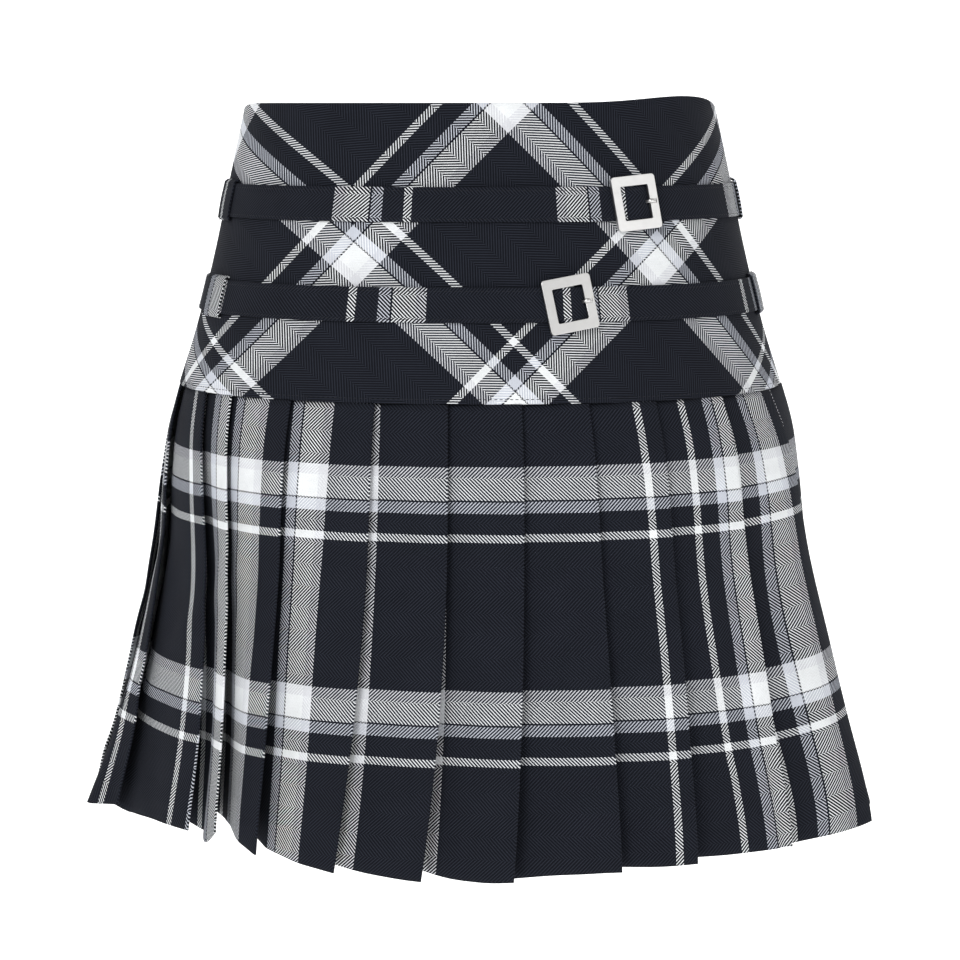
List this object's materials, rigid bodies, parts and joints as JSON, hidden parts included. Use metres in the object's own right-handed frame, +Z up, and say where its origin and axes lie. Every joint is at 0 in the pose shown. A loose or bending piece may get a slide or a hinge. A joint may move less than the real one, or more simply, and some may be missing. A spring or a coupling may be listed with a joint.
{
  "type": "pleated plaid mini skirt",
  "caption": "Knife-pleated plaid mini skirt in the kilt style, with a bias-cut hip yoke and two narrow straps with square buckles, hollow as worn.",
  "frame": {"origin": "centre of the waist opening, at the folded waist edge where the wearer's waist holds the skirt", "axes": "+Z up along the body, the front of the skirt faces -Y, +X is on the right of someone who looks at the front"},
  "size_m": [0.4417, 0.3049, 0.399],
  "materials": {
    "plaid_cloth": "matt navy and white herringbone twill plaid",
    "buckle_metal": "satin silver"
  },
  "bodies": {
    "root": {"yoke_front": "plaid_cloth", "yoke_back_right": "plaid_cloth", "yoke_back_left": "plaid_cloth", "strap_upper_front": "plaid_cloth", "strap_upper_back": "plaid_cloth", "strap_lower_front": "plaid_cloth", "strap_lower_back": "plaid_cloth", "loop_left_upper": "plaid_cloth", "loop_right_upper": "plaid_cloth", "loop_left_lower": "plaid_cloth", "loop_right_lower": "plaid_cloth", "skirt_front": "plaid_cloth", "skirt_back": "plaid_cloth", "buckle_upper_frame": "buckle_metal", "buckle_upper_prong": "buckle_metal", "buckle_lower_frame": "buckle_metal", "buckle_lower_prong": "buckle_metal"}
  },
  "joints": []
}
